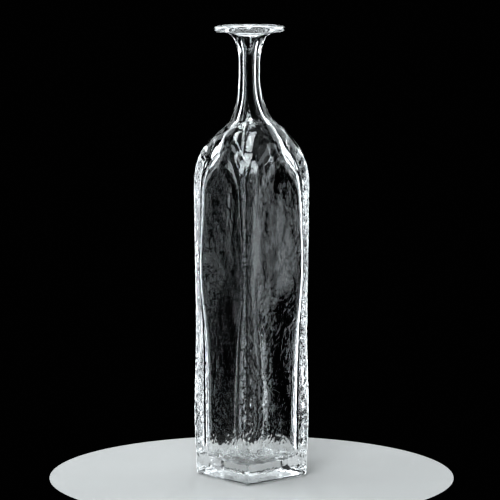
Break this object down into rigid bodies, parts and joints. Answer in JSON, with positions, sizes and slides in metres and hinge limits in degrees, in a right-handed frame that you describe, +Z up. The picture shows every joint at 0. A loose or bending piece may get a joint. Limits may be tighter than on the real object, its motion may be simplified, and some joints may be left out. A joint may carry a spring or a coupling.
{
  "type": "wine decanter",
  "caption": "Tall square decanter of thick clear glass with waisted bark-textured walls, domed shoulder, slender neck and wide flat lip.",
  "frame": {"origin": "centre of the flat underside, on the surface it stands on, under the axis of the neck", "axes": "+Z up along the neck's axis, +X and +Y square to the body's flat faces"},
  "size_m": [0.0744, 0.0744, 0.4],
  "materials": {
    "textured_glass": "clear colourless glass, mould-blown with a bark-like ice texture outside",
    "smooth_glass": "clear colourless glass, smooth and fire polished"
  },
  "bodies": {
    "root": {"base_slab": "textured_glass", "body_shell": "textured_glass", "shoulder_dome": "smooth_glass", "neck_tube": "smooth_glass", "lip_ring": "smooth_glass"}
  },
  "joints": []
}
